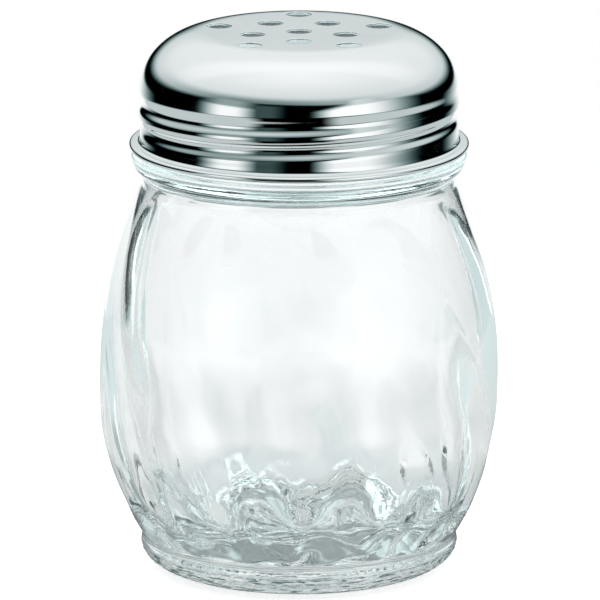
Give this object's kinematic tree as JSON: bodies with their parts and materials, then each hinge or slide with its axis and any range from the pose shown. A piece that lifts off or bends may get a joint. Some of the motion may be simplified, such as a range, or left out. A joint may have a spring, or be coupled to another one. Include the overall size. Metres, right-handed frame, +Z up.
{
  "type": "table shaker for spices",
  "caption": "Table shaker for spices: a bulbous glass jar with twisted flutes and a domed, perforated metal cap that screws on.",
  "frame": {"origin": "centre of the base, on the surface that the shaker stands on", "axes": "+Z up along the jar's axis; +Y away from the viewer in the front view, +X to the viewer's right"},
  "size_m": [0.0698, 0.0698, 0.0953],
  "materials": {
    "clear_glass": "clear pressed soda-lime glass, faintly green, fire polished",
    "seal_plastic": "soft off-white plastic, matt",
    "bright_chrome": "bright chrome plate on stamped sheet"
  },
  "bodies": {
    "jar": {"glass_jar": "clear_glass"},
    "seal": {"seal_ring": "seal_plastic"},
    "cap": {"screw_cap": "bright_chrome"}
  },
  "joints": [
    {"name": "cap_rise", "type": "slide", "parent": "jar", "child": "seal", "axis": [0, 0, 1], "range_m": [0, 0.0212]},
    {"name": "cap_turn", "type": "hinge", "parent": "seal", "child": "cap", "pos_m": [0, 0, 0.0895], "axis": [0, 0, 1], "range_deg": [0, 1800]}
  ],
  "couplings": [
    {"joint": "cap_rise", "follows": "cap_turn", "m_per_rad": 0.0006737}
  ]
}
